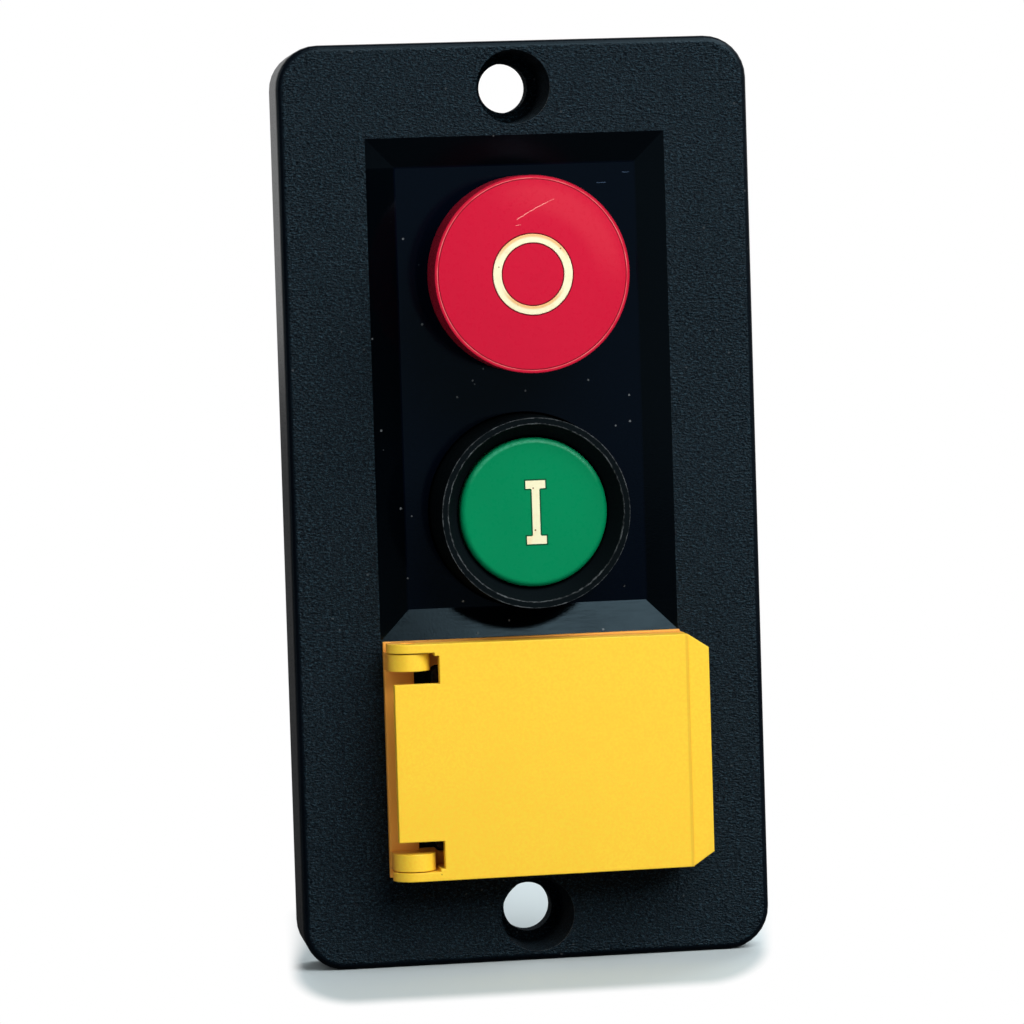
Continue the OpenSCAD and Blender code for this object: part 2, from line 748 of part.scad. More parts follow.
module start_cap() color("#00875a") translate([0, start_y, 0]) difference() {
    bottom_h = start_face_h - start_cap_h;
    rotate_extrude() cap_profile(start_cap_d / 2, cap_edge_r, bottom_h, start_face_h);
    rod(start_cap_d - 2 * cap_wall, bottom_h - over, start_under_h);
    rod(start_stem_d + 2 * seat_gap, bottom_h - over, start_under_h + socket_depth);
}

module start_plunger() color("#e8e4d8") translate([0, start_y, 0]) difference() {
    rod(start_stem_d, carrier_top_h, start_under_h + socket_depth);
    clip_cut(start_stem_d, sleeve_end_h);
}

module start_plunger_clip() color("silver") translate([0, start_y, 0])
    retaining_clip(start_stem_d, sleeve_end_h);

module start_spring() color("silver") translate([0, start_y, skin_back_h])
    coil_spring(start_tube_d / 2 + start_spring_gap, button_wire, start_under_h - skin_back_h, start_turns);

// A window in the carrier that holds one bridge and its spring
module bridge_cage() difference() {
    block(
        [-cage_half_w, -cage_half_h - cage_wall, cage_end_h],
        [cage_half_w, cage_half_h + cage_wall, carrier_under_h]
    );
    block(
        [-cage_half_w - over, -cage_half_h, cage_end_h + cage_bar_t],
        [cage_half_w + over, cage_half_h, carrier_under_h]
    );
}

module at_armature_rivets() at_sides() translate([core_w / 2 - core_leg_w / 2, start_y, 0]) children();

module contact_carrier() color("#6a2f22") difference() {
    union() {
        block(
            [-carrier_half_w, start_y - carrier_half_h, carrier_under_h],
            [carrier_half_w, start_y + carrier_half_h, carrier_top_h]
        );
        at_bridges() bridge_cage();
    }
    at_sides() block(
        [inner_half_w - rib_reach - free_gap, start_y - rib_half - free_gap, carrier_under_h - over],
        [carrier_half_w + over, start_y + rib_half + free_gap, carrier_top_h + over]
    );
    at_armature_rivets() rod(armature_rivet_d + 2 * seat_gap, carrier_under_h - over, carrier_top_h + over);
}

module armature() color("#8d9094") difference() {
    block(
        [-core_w / 2, start_y - core_stack / 2, armature_face_h],
        [core_w / 2, start_y + core_stack / 2, carrier_under_h]
    );
    at_armature_rivets() rod(armature_rivet_d + 2 * seat_gap, armature_face_h - over, carrier_under_h + over);
}

module armature_rivets() color("silver") at_armature_rivets() {
    rod(armature_rivet_d, armature_face_h, carrier_top_h + armature_head_t);
    rod(armature_head_d, carrier_top_h, carrier_top_h + armature_head_t);
}

module contact_bridges() color("#b87333") at_bridges() {
    slab(2 * bridge_half, bridge_w, strip_corner_r, bridge_top_h - strip_t, bridge_top_h);
    at_sides() translate([rivet_x, 0, 0]) rod(rivet_d, bridge_top_h - strip_t - rivet_h, bridge_top_h);
}

module bridge_springs() color("silver") at_bridges() translate([0, 0, bridge_top_h])
    coil_spring(bridge_spring_r, bridge_wire, bridge_spring_len, bridge_turns);

module carrier_springs() color("silver") at_bridges() translate([0, 0, bobbin_top_h])
    coil_spring(carrier_spring_r, carrier_wire, carrier_spring_len, carrier_turns);

module main_terminals() color("#c9a14a") at_bridges() at_sides()
    side_terminal(rivet_x, bobbin_half_w + 2 * free_gap, main_rivet_h - rivet_h, true, -deep_depth - tab_len);

// Magnet

module at_rings() at_sides() translate([core_w / 2 - core_leg_w / 2, start_y, pole_h - shade_t]) children();

module magnet_core() color("#74787c") difference() {
    block(
        [-core_w / 2, start_y - core_stack / 2, core_end_h],
        [core_w / 2, start_y + core_stack / 2, pole_h]
    );
    at_sides() block(
        [core_mid_w / 2, start_y - core_stack, yoke_h],
        [core_w / 2 - core_leg_w, start_y + core_stack, pole_h + over]
    );
    at_rings() for (sx = [-1, 1]) translate([sx * (core_leg_w / 2 - shade_inset - shade_t / 2), 0, shade_t])
        cube([shade_t + 2 * seat_gap, 2 * core_stack, 2 * shade_t], center = true);
}

module shading_rings() color("#b87333") at_rings() difference() {
    outer_w = core_leg_w - 2 * shade_inset;
    outer_h = core_stack + 2 * shade_t + 2 * seat_gap;
    linear_extrude(shade_t - seat_gap) square([outer_w, outer_h], center = true);
    translate([0, 0, -over]) linear_extrude(shade_t + 2 * over)
        square([outer_w - 2 * shade_t, core_stack + 2 * seat_gap], center = true);
}

module core_pad() color("#303030") translate([0, start_y, 0])
    slab(core_w, core_stack, pad_corner_r, deep_floor_h, core_end_h);

module coil_bobbin() color("#e9e2cf") translate([0, start_y, 0]) difference() {
    union() {
        for (low_h = [yoke_h, bobbin_top_h - bobbin_flange_t])
            slab(2 * bobbin_half_w, 2 * bobbin_half_h, bobbin_corner_r, low_h, low_h + bobbin_flange_t);
        slab(bobbin_tube_w, bobbin_tube_h, bobbin_wall / 2, yoke_h, bobbin_top_h);
    }
    block(
        [-core_mid_w / 2 - run_gap, -core_stack / 2 - run_gap, yoke_h - over],
        [core_mid_w / 2 + run_gap, core_stack / 2 + run_gap, bobbin_top_h + over]
    );
    for (sy = [-1, 1]) translate([0, sy * bridge_offset, yoke_h])
        cube([tab_w + 2 * seat_gap, strip_t + 2 * seat_gap, 3 * bobbin_flange_t], center = true);
}

module coil_winding() color("#9c4a1e") translate([0, start_y, 0]) difference() {
    low_h = yoke_h + bobbin_flange_t + seat_gap;
    high_h = bobbin_top_h - bobbin_flange_t - seat_gap;
    slab(2 * bobbin_half_w - 2 * free_gap, 2 * coil_half_h, coil_corner_r, low_h, high_h);
    slab(
        bobbin_tube_w + 2 * seat_gap, bobbin_tube_h + 2 * seat_gap, bobbin_wall / 2,
        low_h - over, high_h + over
    );
}

module coil_terminals() color("#c9a14a") at_bridges() block(
    [-tab_w / 2, -strip_t / 2, -deep_depth - tab_len],
    [tab_w / 2, strip_t / 2, yoke_h + bobbin_flange_t]
);

// Flap

module at_flap_ends() for (m = [0, 1]) translate([0, flap_y, 0]) mirror([0, m, 0]) children();

module flap_base() color("#f2b92c") difference() {
    union() {
        block([flap_left, flap_bottom, plate_t], [flap_right, flap_top, plate_t + base_t]);
        at_flap_ends() along_y(ear_low, ear_low + hinge_ear_t) {
            translate([hinge_x, hinge_h]) circle(hinge_ear_r);
            translate([hinge_x - hinge_ear_r, plate_t]) square([2 * hinge_ear_r, hinge_rise]);
        }
        at_pegs() {
            rod(peg_d, skin_back_h - peg_head_t, plate_t + base_t / 2);
            rod(peg_head_d, skin_back_h - peg_head_t, skin_back_h);
        }
    }
    at_rocker() slab(
        flange_w + 2 * free_gap, flange_h + 2 * free_gap, flange_corner_r,
        plate_t - over, plate_t + base_t + over
    );
    block(
        [window_x, flap_y - ear_low + side_gap, plate_t - over],
        [rocker_x, flap_y + ear_low - side_gap, plate_t + base_t + over]
    );
    at_flap_ends() block(
        [flap_left - over, ear_low + hinge_ear_t, plate_t + eye_floor_t],
        [hinge_x + lid_eye_r + free_gap, flap_h / 2 + over, plate_t + base_t + over]
    );
    at_pin_ends() cylinder(r = pin_d / 2 + seat_gap, h = flap_h, center = true);
}

module at_pin_ends() translate([hinge_x, flap_y, hinge_h]) rotate([90, 0, 0]) children();

module hinge_pins() color("#f2b92c") at_pin_ends() for (m = [0, 1]) mirror([0, 0, m])
    translate([0, 0, ear_low]) cylinder(d = pin_d, h = flap_h / 2 - ear_low - lid_taper - side_gap);

// Outline of the lid seen from the front
module lid_outline() {
    right_half = flap_h / 2 - lid_taper;
    lip_half = right_half - lip_chamfer;
    translate([0, flap_y]) polygon([
        [flap_left - over, flap_h / 2], [flap_right, right_half], [flap_right + lip_w, lip_half],
        [flap_right + lip_w, -lip_half], [flap_right, -right_half], [flap_left - over, -flap_h / 2]
    ]);
}

module lid_shapes() {
    tongue_half = flap_h / 2 - lid_side - notch_h;
    along_y(flap_y - tongue_half, flap_y + tongue_half)
        translate([hinge_x - tongue_reach, lid_top_h - lid_skin]) square([tongue_reach + over, lid_skin]);
    along_y(flap_bottom, flap_top) {
        translate([hinge_x, lid_top_h - lid_skin]) square([flap_right - hinge_x, lid_skin]);
        translate([flap_right - lid_skin, skirt_h]) square([lid_skin, lid_top_h - skirt_h]);
        translate([flap_right - lid_skin, lid_top_h - lip_step - lip_t]) square([lip_w + lid_skin, lip_t]);
    }
    at_flap_ends() along_y(flap_h / 2 - lid_side, flap_h / 2) {
        translate([hinge_x, hinge_h]) circle(lid_eye_r);
        translate([hinge_x, skirt_h]) square([flap_right - hinge_x, lid_top_h - skirt_h]);
    }
}

module flap_lid() color("#fccf3b") difference() {
    intersection() {
        lid_shapes();
        translate([0, 0, plate_t]) linear_extrude(lid_top_h) lid_outline();
    }
    at_flap_ends() block(
        [flap_left - 2 * over, flap_h / 2 - lid_side - notch_h, lid_top_h - 2 * lid_skin],
        [hinge_x - tongue_reach + notch_w, flap_h / 2 - lid_side, lid_top_h + over]
    );
    // Room for the ears beside the hinge eyes
    at_flap_ends() block(
        [flap_left - 2 * over, flap_h / 2 - lid_side - over, plate_t],
        [hinge_x + hinge_ear_r + free_gap, flap_h / 2 - lid_eye_t, lid_top_h + over]
    );
    at_pin_ends() cylinder(r = pin_d / 2 + run_gap, h = 2 * flap_h, center = true);
}

// Direction rocker

module at_rocker() translate([rocker_x, rocker_y, 0]) children();

module at_poles() for (sy = [-1, 1]) translate([rocker_x, rocker_y + sy * pole_offset, 0]) children();

module rocker_body() color("#151617") difference() {
    at_rocker() union() {
        slab(flange_w, flange_h, flange_corner_r, plate_t, flange_top_h);
        slab(rocker_w, rocker_h, rocker_corner_r, -rocker_depth, flange_top_h);
        at_sides() along_y(-wing_half, wing_half) polygon([
            [rocker_w / 2 - over, 0], [rocker_w / 2, 0],
            [rocker_w / 2 + wing_reach, skin_back_h - free_gap], [rocker_w / 2 - over, skin_back_h - free_gap]
        ]);
        for (sy = [-1, 1], x = tab_xs) translate([x, sy * pole_offset, 0])
            tab_foot(strip_t, tab_w, -rocker_depth);
    }
    at_rocker() slab(rocker_inner_w, rocker_inner_h, rocker_corner_r, rocker_floor_h, flange_top_h + over);
    at_rocker() translate([0, 0, axle_h]) rotate([90, 0, 0])
        cylinder(r = axle_d / 2 + seat_gap, h = rocker_h - rocker_wall, center = true);
    at_poles() for (x = tab_xs) translate([x, 0, rocker_floor_h])
        cube([strip_t + 2 * seat_gap, tab_w + 2 * seat_gap, 4 * rocker_wall], center = true);
}

module rocker_axle() color("silver") at_rocker() translate([0, 0, axle_h]) rotate([90, 0, 0])
    cylinder(d = axle_d, h = rocker_h - rocker_wall - 2 * seat_gap, center = true);

module paddle_outline() {
    polygon([
        [-paddle_half_w, paddle_end_h], [0, paddle_end_h - paddle_dip], [paddle_half_w, paddle_end_h],
        [paddle_half_w, paddle_end_h - paddle_skin - paddle_dip], [boss_half_w, axle_h - paddle_skin],
        [boss_half_w, boss_end_h], [-boss_half_w, boss_end_h], [-boss_half_w, axle_h - paddle_skin],
        [-paddle_half_w, paddle_end_h - paddle_skin - paddle_dip]
    ]);
}

module rocker_paddle() color("#1b1c1e") difference() {
    at_rocker() along_y(-paddle_half_h, paddle_half_h) paddle_outline();
    at_rocker() translate([0, 0, axle_h]) rotate([90, 0, 0])
        cylinder(r = axle_d / 2 + run_gap, h = rocker_h, center = true);
    at_poles() rod(plunger_d + 2 * run_gap, boss_end_h - over, bore_top_h);
}

module rocker_plungers() color("#e8e4d8") at_poles() {
    rod(plunger_d, plunger_tip_h + plunger_d / 2, bore_top_h - rocker_spring_len);
    translate([0, 0, plunger_tip_h + plunger_d / 2]) sphere(d = plunger_d);
}

module rocker_springs() color("silver") at_poles() translate([0, 0, bore_top_h - rocker_spring_len])
    coil_spring(plunger_d / 2 - rocker_wire, rocker_wire, rocker_spring_len, rocker_turns);

module rocker_blades() color("#b87333") at_poles() {
    slab(2 * blade_half, blade_w, strip_corner_r, blade_pivot_h, blade_top_h);
    at_sides() translate([blade_rivet_x, 0, 0]) rod(rivet_d, blade_pivot_h - rivet_h, blade_top_h);
    translate([0, 0, blade_pivot_h]) rotate([90, 0, 0])
        cylinder(r = blade_ridge_r, h = blade_w, center = true);
}

module rocker_terminals() color("#c9a14a") at_poles() {
    tab_end = -rocker_depth - tab_len;
    common_h = blade_pivot_h - blade_ridge_r - close_gap;
    strip_top = end_rivet_h - rivet_h;
    block([-strip_t / 2, -tab_w / 2, tab_end], [strip_t / 2, tab_w / 2, common_h]);
    at_sides() {
        block(
            [blade_rivet_x - rivet_d / 2, -tab_w / 2, strip_top - strip_t],
            [end_tab_x + strip_t / 2, tab_w / 2, strip_top]
        );
        block(
            [end_tab_x - strip_t / 2, -tab_w / 2, tab_end],
            [end_tab_x + strip_t / 2, tab_w / 2, strip_top]
        );
        translate([blade_rivet_x, 0, 0]) rod(rivet_d, strip_top - strip_t, end_rivet_h);
    }
}

in_panel() front_plate();
in_panel() module_cover();
in_panel() module_base();
in_panel() module_screws();
in_panel() cover_screws();
in_panel() stop_cap();
in_panel() stop_plunger();
in_panel() stop_spring();
in_panel() stop_plunger_clip();
in_panel() stop_bridge();
in_panel() stop_bridge_clip();
in_panel() stop_contacts();
in_panel() start_cap();
in_panel() start_plunger();
in_panel() start_spring();
in_panel() start_plunger_clip();
in_panel() contact_carrier();
in_panel() armature();
in_panel() armature_rivets();
in_panel() contact_bridges();
in_panel() bridge_springs();
in_panel() carrier_springs();
in_panel() magnet_core();
in_panel() shading_rings();
in_panel() core_pad();
in_panel() coil_bobbin();
in_panel() coil_winding();
in_panel() coil_terminals();
in_panel() main_terminals();
in_panel() flap_base();
in_panel() flap_lid();
in_panel() hinge_pins();
in_panel() rocker_body();
in_panel() rocker_paddle();
in_panel() rocker_axle();
in_panel() rocker_plungers();
in_panel() rocker_springs();
in_panel() rocker_blades();
in_panel() rocker_terminals();
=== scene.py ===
import json
import math

import bmesh
import bpy
from mathutils import Matrix, Vector


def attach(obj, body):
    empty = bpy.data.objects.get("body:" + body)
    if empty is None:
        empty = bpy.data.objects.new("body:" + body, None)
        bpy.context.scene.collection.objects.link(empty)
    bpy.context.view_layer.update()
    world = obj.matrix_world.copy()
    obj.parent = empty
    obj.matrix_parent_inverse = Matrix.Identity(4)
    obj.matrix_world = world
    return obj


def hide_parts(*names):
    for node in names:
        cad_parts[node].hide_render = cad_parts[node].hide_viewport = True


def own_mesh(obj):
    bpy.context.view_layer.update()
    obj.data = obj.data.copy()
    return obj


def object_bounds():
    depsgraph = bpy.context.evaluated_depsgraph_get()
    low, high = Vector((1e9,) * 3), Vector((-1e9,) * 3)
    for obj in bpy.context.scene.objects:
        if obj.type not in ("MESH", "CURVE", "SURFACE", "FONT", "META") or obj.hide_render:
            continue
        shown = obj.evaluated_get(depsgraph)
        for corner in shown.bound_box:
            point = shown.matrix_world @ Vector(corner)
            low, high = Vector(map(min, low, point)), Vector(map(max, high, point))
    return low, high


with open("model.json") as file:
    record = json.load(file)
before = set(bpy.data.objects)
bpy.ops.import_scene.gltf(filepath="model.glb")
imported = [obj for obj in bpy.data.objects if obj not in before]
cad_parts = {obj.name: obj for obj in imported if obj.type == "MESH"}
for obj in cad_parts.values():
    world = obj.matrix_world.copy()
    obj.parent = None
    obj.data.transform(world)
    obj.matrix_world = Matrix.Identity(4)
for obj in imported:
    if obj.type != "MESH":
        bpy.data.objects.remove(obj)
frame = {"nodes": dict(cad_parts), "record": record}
cad_low, cad_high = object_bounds()
nodes = frame["nodes"]
MM = 0.001

# Axes and front faces of the two buttons, from the CAD sizes
STOP_AXIS = (0.0, 32.3 * MM)
STOP_FACE = 23.9 * MM
STOP_R, DOME_RISE = 13.75, 0.5
DOME_R = (STOP_R ** 2 + DOME_RISE ** 2) / (2 * DOME_RISE) * MM
START_AXIS = (0.0, -1.0 * MM)
START_FACE = 19.0 * MM

# The symbols: how far they stand out of and reach into the caps, and the bar's place off centre
SYMBOL_LIFT, SYMBOL_SINK = 0.03 * MM, 0.06 * MM
BAR_X = 0.25 * MM

# The plate: half width and ends of the recess, centres of its corner rounding, place of its holes
RECESS_X, RECESS_LOW, RECESS_TOP = 21.3 * MM, -18.8 * MM, 51.8 * MM
CORNER_X, CORNER_Z = 27.5 * MM, 59.0 * MM
BORE_Z = 58.5 * MM


class Arithmetic:
    """Short names for the math nodes that the finishes and the studio share."""

    def times(self, a, b):
        return self.math("MULTIPLY", a, b)

    def plus(self, a, b):
        return self.math("ADD", a, b)

    def minus(self, a, b):
        return self.math("SUBTRACT", a, b)

    def hypot(self, *lengths):
        """Root of the sum of the squares."""
        squares = [self.times(length, length) for length in lengths]
        total = squares[0]
        for square in squares[1:]:
            total = self.plus(total, square)
        return self.math("SQRT", total)


class Finish(Arithmetic):
    """A procedural material: a Principled shader with helpers for the nodes that feed it."""

    def __init__(self, name, **constants):
        self.material = bpy.data.materials.new(name)
        self.material.use_nodes = True
        self.tree = self.material.node_tree
        self.tree.nodes.clear()
        out = self.tree.nodes.new("ShaderNodeOutputMaterial")
        self.shader = self.tree.nodes.new("ShaderNodeBsdfPrincipled")
        self.tree.links.new(self.shader.outputs[0], out.inputs["Surface"])
        self.coord = self.tree.nodes.new("ShaderNodeTexCoord").outputs["Object"]
        split = self.tree.nodes.new("ShaderNodeSeparateXYZ")
        self.tree.links.new(self.coord, split.inputs[0])
        self.x, self.y, self.z = split.outputs
        for socket, value in constants.items():
            self.shader.inputs[socket.replace("_", " ")].default_value = value

    def put(self, socket, value):
        if isinstance(value, bpy.types.NodeSocket):
            self.tree.links.new(value, socket)
        else:
            socket.default_value = value

    def feed(self, name, value):
        self.put(self.shader.inputs[name], value)

    def math(self, operation, *values):
        node = self.tree.nodes.new("ShaderNodeMath")
        node.operation = operation
        for socket, value in zip(node.inputs, values):
            self.put(socket, value)
        return node.outputs[0]

    def ramp(self, value, low, high, to_low=0.0, to_high=1.0):
        node = self.tree.nodes.new("ShaderNodeMapRange")
        node.interpolation_type = "SMOOTHSTEP"
        for socket, v in zip(node.inputs, (value, low, high, to_low, to_high)):
            self.put(socket, v)
        return node.outputs[0]

    def stretched(self, scale):
        node = self.tree.nodes.new("ShaderNodeMapping")
        self.put(node.inputs["Vector"], self.coord)
        node.inputs["Scale"].default_value = scale
        return node.outputs[0]

    def noise(self, scale, detail=2.0, roughness=0.5, vector=None):
        node = self.tree.nodes.new("ShaderNodeTexNoise")
        self.put(node.inputs["Vector"], vector or self.coord)
        node.inputs["Scale"].default_value = scale
        node.inputs["Detail"].default_value = detail
        node.inputs["Roughness"].default_value = roughness
        return node.outputs[0]

    def cells(self, scale, vector=None, feature="F1"):
        node = self.tree.nodes.new("ShaderNodeTexVoronoi")
        node.feature = feature
        self.put(node.inputs["Vector"], vector or self.coord)
        node.inputs["Scale"].default_value = scale
        return node.outputs["Distance"]

    def mix(self, share, a, b):
        node = self.tree.nodes.new("ShaderNodeMix")
        node.data_type = "RGBA"
        self.put(node.inputs[0], share)
        for socket, value in ((node.inputs[6], a), (node.inputs[7], b)):
            self.put(socket, value if isinstance(value, bpy.types.NodeSocket) else (*value, 1.0))
        return node.outputs[2]

    def vector_math(self, operation, *values):
        node = self.tree.nodes.new("ShaderNodeVectorMath")
        node.operation = operation
        for socket, value in zip(node.inputs, values):
            self.put(socket, value)
        return node.outputs[0]

    def crown(self, centre, share):
        """The normal of a sphere about centre where share is 1, the surface's own elsewhere."""
        own = self.tree.nodes.new("ShaderNodeNewGeometry").outputs["Normal"]
        round_ = self.vector_math("NORMALIZE", self.vector_math("SUBTRACT", self.coord, centre))
        node = self.tree.nodes.new("ShaderNodeMix")
        node.data_type = "VECTOR"
        self.put(node.inputs[0], share)
        self.put(node.inputs[4], own)
        self.put(node.inputs[5], round_)
        return node.outputs[1]

    def relief(self, height, distance, strength=1.0, edge=0.0):
        bump = self.bump = self.tree.nodes.new("ShaderNodeBump")
        self.put(bump.inputs["Height"], height)
        self.put(bump.inputs["Strength"], strength)
        bump.inputs["Distance"].default_value = distance
        if edge:
            bevel = self.tree.nodes.new("ShaderNodeBevel")
            bevel.samples = 6
            bevel.inputs["Radius"].default_value = edge
            self.tree.links.new(bevel.outputs[0], bump.inputs["Normal"])
        self.feed("Normal", bump.outputs[0])


def between(f, value, low, high, soft):
    """1 where value lies between low and high, fading over soft."""
    rising = f.ramp(value, low - soft, low + soft)
    return f.times(rising, f.ramp(value, high - soft, high + soft, 1, 0))


def radius(f, x, z):
    """Distance from an axis that runs along Y through x, z."""
    return f.hypot(f.minus(f.x, x), f.minus(f.z, z))


def specks(f, scale, size, share):
    """Sparse dust specks: small spots in a share of the cells."""
    spots = f.ramp(f.cells(scale), size, size * 0.5)
    return f.times(spots, f.ramp(f.noise(scale * 0.41, 0.0), 1.0 - share, 1.03 - share))


def scratch(f, start, end, width, bow=0.0):
    """One scratched line on a face seen from the front, from start to end in x and z."""
    (x0, z0), (x1, z1) = start, end
    length = math.hypot(x1 - x0, z1 - z0)
    c, s = (x1 - x0) / length, (z1 - z0) / length
    dx, dz = f.minus(f.x, x0), f.minus(f.z, z0)
    along = f.plus(f.times(dx, c), f.times(dz, s))
    across = f.minus(f.times(dz, c), f.times(dx, s))
    t = f.math("DIVIDE", along, length)
    arch = f.times(f.times(t, f.minus(1.0, t)), 4 * bow)
    wander = f.times(f.minus(f.noise(2200.0, 3.0), 0.5), 3.0 * width)
    off = f.math("ABSOLUTE", f.minus(across, f.plus(arch, wander)))
    broken = f.ramp(f.noise(1500.0, 2.0), 0.36, 0.5)
    line = f.times(f.ramp(off, width, width * 0.4), between(f, along, 0.0, length, 0.1 * MM))
    return f.times(line, broken)


def largest(f, *values):
    top = values[0]
    for value in values[1:]:
        top = f.math("MAXIMUM", top, value)
    return top


def moulded(name, colour, roughness, tone=0.06, relief=0.004 * MM, edge=0.0, **constants):
    """Smooth moulded plastic: slow changes of tone and gloss, faint orange peel, soft edges."""
    f = Finish(name, **constants)
    cloud = f.noise(60.0, 2.0)
    fine = f.noise(1600.0, 2.0)
    deep = tuple(c * (1 - tone) for c in colour)
    pale = tuple(c * (1 + tone * (1 - c)) for c in colour)
    f.colour = f.mix(f.ramp(cloud, 0.25, 0.75), deep, pale)
    f.feed("Base Color", f.colour)
    f.feed("Roughness", f.ramp(fine, 0.25, 0.75, roughness * 0.85, roughness * 1.15))
    f.relief(f.plus(fine, f.times(cloud, 2.0)), relief, 0.6, edge)
    return f


def metal(name, colour, roughness):
    """Drawn or rolled metal with faint streaks along Y and a little tarnish."""
    f = Finish(name, Metallic=0.75)
    streaks = f.noise(1.0, 2.0, 0.5, f.stretched((900.0, 60.0, 900.0)))
    stain = f.ramp(f.noise(220.0, 4.0), 0.45, 0.8, 0.0, 0.8)
    f.feed("Base Color", f.mix(stain, colour, tuple(c * 0.82 for c in colour)))
    f.feed("Roughness", f.ramp(streaks, 0.2, 0.8, roughness * 0.92, roughness * 1.1))
    f.relief(f.noise(1400.0, 2.0), 0.002 * MM, 0.25, 0.08 * MM)
    return f


def striped(name, pale, dark, pitch, axis, roughness, metallic):
    """Stacked sheets or turns of wire: fine stripes of one pitch across an axis."""
    f = Finish(name, Metallic=metallic)
    turns = f.times({"x": f.x, "y": f.y, "z": f.z}[axis], math.pi / pitch)
    wave = f.math("ABSOLUTE", f.math("SINE", turns))
    tone = f.times(f.ramp(wave, 0.0, 0.5), f.ramp(f.noise(300.0), 0.2, 0.8, 0.7, 1.0))
    f.feed("Base Color", f.mix(tone, dark, pale))
    f.feed("Roughness", f.ramp(f.noise(500.0), 0.2, 0.8, roughness * 0.8, roughness * 1.2))
    f.relief(wave, pitch * 0.25, 0.8)
    return f


def plate_finish():
    """The front plate: a fine sideways grain on its face with painted glints on its crests, a smooth
    edge and a polished recess whose border slopes are painted darker as shade.
    """
    f = Finish("plate_grain", Specular_IOR_Level=0.20, Specular_Tint=(0.52, 0.82, 1.0, 1.0))
    inside = f.times(
        between(f, f.x, -RECESS_X, RECESS_X, 0.05 * MM),
        between(f, f.z, RECESS_LOW, RECESS_TOP, 0.05 * MM),
    )
    polished = f.times(inside, f.ramp(f.y, -10.0 * MM, -10.4 * MM))
    over_x = f.math("MAXIMUM", f.minus(f.math("ABSOLUTE", f.x), CORNER_X), 0.0)
    over_z = f.math("MAXIMUM", f.minus(f.math("ABSOLUTE", f.z), CORNER_Z), 0.0)
    face = f.ramp(f.hypot(over_x, over_z), 5.35 * MM, 4.95 * MM)
    grainy = f.times(face, f.minus(1.0, polished))
    warp = f.noise(1.0, 2.0, 0.6, f.stretched((1900.0, 3000.0, 3300.0)))
    pits = f.cells(1.0, f.stretched((2900.0, 4600.0, 4900.0)), "SMOOTH_F1")
    fine = f.noise(1.0, 2.0, 0.6, f.stretched((5200.0, 8000.0, 8600.0)))
    grain = f.plus(f.plus(pits, warp), f.times(fine, 0.7))
    cloud = f.ramp(f.noise(45.0, 3.0), 0.3, 0.7)
    shade = f.mix(cloud, (0.0008, 0.0016, 0.0034), (0.0014, 0.0026, 0.0048))
    # Painted shade: the recess's border slopes are painted darker than its floor.
    shaded_borders = f.ramp(f.y, -11.02 * MM, -11.08 * MM)
    recess = f.mix(shaded_borders, (0.0006, 0.0016, 0.0046), (0.0003, 0.0008, 0.0016))
    # Painted glints: the grain's crests are painted paler, standing in for light catching them.
    grain_glints = f.ramp(f.plus(f.times(warp, 0.5), f.times(fine, 0.5)), 0.53, 0.58)
    grain_with_glints = f.mix(f.times(grain_glints, grainy), shade, (0.013, 0.029, 0.041))
    body = f.mix(polished, grain_with_glints, recess)
    dust = f.times(specks(f, 520.0, 0.11, 0.40), f.ramp(polished, 0.0, 1.0, 0.22, 0.65))
    hairs = f.times(polished, largest(
        f,
        scratch(f, (11.7 * MM, 44.7 * MM), (13.0 * MM, 44.75 * MM), 0.06 * MM),
        scratch(f, (15.4 * MM, 46.1 * MM), (16.4 * MM, 46.1 * MM), 0.06 * MM),
    ))
    dusty = f.mix(dust, body, (0.17, 0.19, 0.20))
    f.feed("Base Color", f.mix(f.times(hairs, 0.6), dusty, (0.07, 0.12, 0.20)))
    gloss = f.ramp(f.noise(160.0, 4.0), 0.3, 0.7, 0.09, 0.13)
    bores = f.math("MINIMUM", radius(f, 0.0, BORE_Z), radius(f, 0.0, -BORE_Z))
    sunk = f.times(f.ramp(bores, 5.45 * MM, 5.30 * MM), f.ramp(f.y, -11.9 * MM, -11.6 * MM))
    matt = f.math("MAXIMUM", f.ramp(grain, 0.8, 1.6, 0.25, 0.36), f.times(sunk, 0.95))
    streaks = f.noise(1.0, 3.0, 0.7, f.stretched((300.0, 900.0, 9000.0)))
    lower = f.ramp(f.z, -14.2 * MM, -14.8 * MM)
    brushed = f.times(lower, f.ramp(streaks, 0.42, 0.62, 0.0, 0.06))
    dulled = f.ramp(f.z, 47.3 * MM, 47.8 * MM, 0.0, 0.12)
    gloss = f.plus(gloss, f.math("MAXIMUM", brushed, dulled))
    rest = f.times(f.minus(1.0, polished), matt)
    f.feed("Roughness", f.plus(f.times(polished, gloss), rest))
    f.relief(grain, 0.20 * MM, f.plus(f.times(grainy, 0.9), 0.01))
    return f


def collar_finish():
    """The module cover: satin black, with both edges of the collar's rim painted pale, partly as wear
    and partly as a painted highlight.
    """
    f = moulded("collar_black", (0.0028, 0.0050, 0.0062), 0.60, 0.1, Specular_IOR_Level=0.015)
    r = radius(f, *START_AXIS)
    chips = f.times(f.minus(f.noise(1500.0, 3.0, 0.7), 0.5), 0.40 * MM)
    edge_r = f.plus(r, chips)
    # Both rim edges are painted pale: wear, and a painted highlight along the edges.
    outer = between(f, edge_r, 13.22 * MM, 13.42 * MM, 0.04 * MM)
    inner = between(f, edge_r, 12.36 * MM, 12.50 * MM, 0.04 * MM)
    rim = f.times(f.ramp(f.y, -20.5 * MM, -20.8 * MM), f.math("MAXIMUM", outer, inner))
    worn_and_highlit = f.times(rim, f.ramp(f.noise(700.0, 4.0, 0.75), 0.36, 0.66, 0.08, 0.85))
    dust = f.times(specks(f, 520.0, 0.11, 0.3), 0.5)
    f.feed("Base Color", f.mix(f.math("MAXIMUM", worn_and_highlit, dust), f.colour, (0.105, 0.118, 0.125)))
    return f


